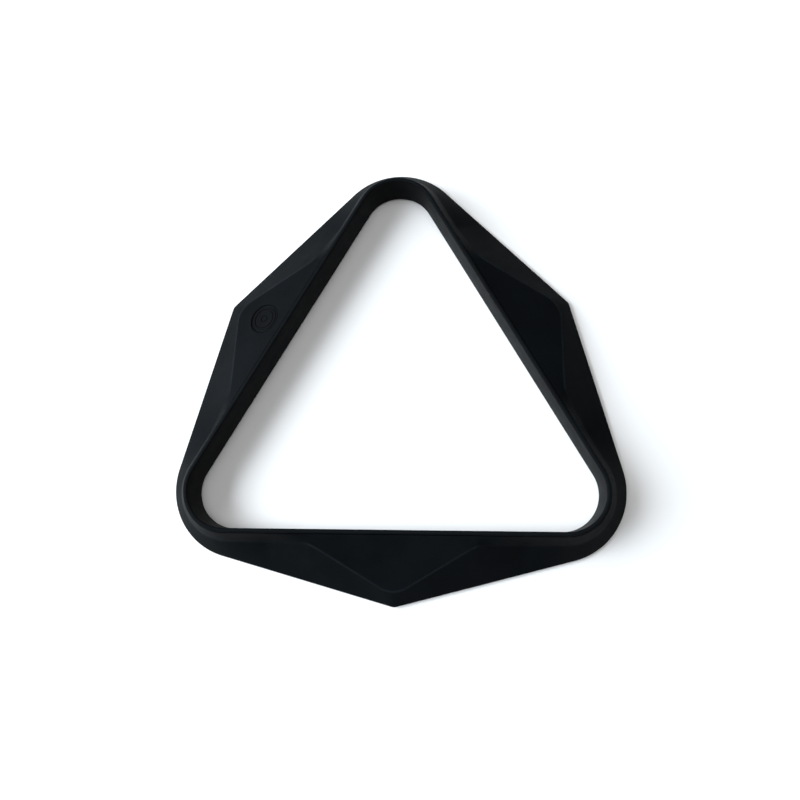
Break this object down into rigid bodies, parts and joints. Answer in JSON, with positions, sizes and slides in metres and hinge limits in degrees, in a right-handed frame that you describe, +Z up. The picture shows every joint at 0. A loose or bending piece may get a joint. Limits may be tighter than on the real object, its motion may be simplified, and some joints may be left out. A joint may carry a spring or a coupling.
{
  "type": "triangle rack",
  "caption": "Winged triangular rack that gathers billiard balls into a tight pyramid, with an upright ball wall and thumb facets on its sides.",
  "frame": {"origin": "on the surface that the rack stands on, at the middle of its length and width", "axes": "+Z up; +Y towards the back corner; +X to the right"},
  "size_m": [0.328, 0.3298, 0.03],
  "materials": {
    "ring_plastic": "satin black moulded plastic",
    "shell_plastic": "satin black moulded plastic with a fine grain",
    "badge_plastic": "smooth black plastic",
    "zinc_steel": "zinc plated",
    "felt": "dense black felt"
  },
  "bodies": {
    "root": {"ball_wall_ring": "ring_plastic", "wing_shell": "shell_plastic", "badge_disc": "badge_plastic", "ring_screw_1": "zinc_steel", "ring_screw_2": "zinc_steel", "ring_screw_3": "zinc_steel", "ring_screw_4": "zinc_steel", "ring_screw_5": "zinc_steel", "ring_screw_6": "zinc_steel", "corner_glide_front_right": "felt", "corner_glide_back": "felt", "corner_glide_front_left": "felt", "wing_glide_front": "felt", "wing_glide_right": "felt", "wing_glide_left": "felt"}
  },
  "joints": []
}
